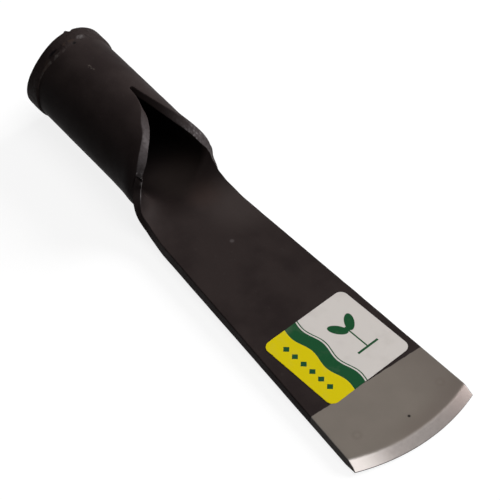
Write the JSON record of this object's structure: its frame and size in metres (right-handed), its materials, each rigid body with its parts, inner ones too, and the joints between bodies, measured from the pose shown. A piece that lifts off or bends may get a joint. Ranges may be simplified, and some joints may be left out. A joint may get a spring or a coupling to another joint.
{
  "type": "digging bar head",
  "caption": "Forged steel digging bar head: round pole socket with a banded mouth, open throat and long flared blade with a curved ground edge.",
  "frame": {"origin": "centre of the socket's mouth, on the socket's axis", "axes": "+X along the socket's axis from the mouth to the cutting edge, +Z out of the blade's face, +Y across the blade"},
  "size_m": [0.2885, 0.0714, 0.0504],
  "materials": {
    "forged_head": "thin dark brown-black lacquer on forged steel, ground bright at the edge",
    "socket_collar": "same dark lacquer, with a trace of rust along the lap",
    "label": "satin printed paper"
  },
  "bodies": {
    "root": {"forged_head": "forged_head", "socket_collar": "socket_collar", "label": "label"}
  },
  "joints": []
}
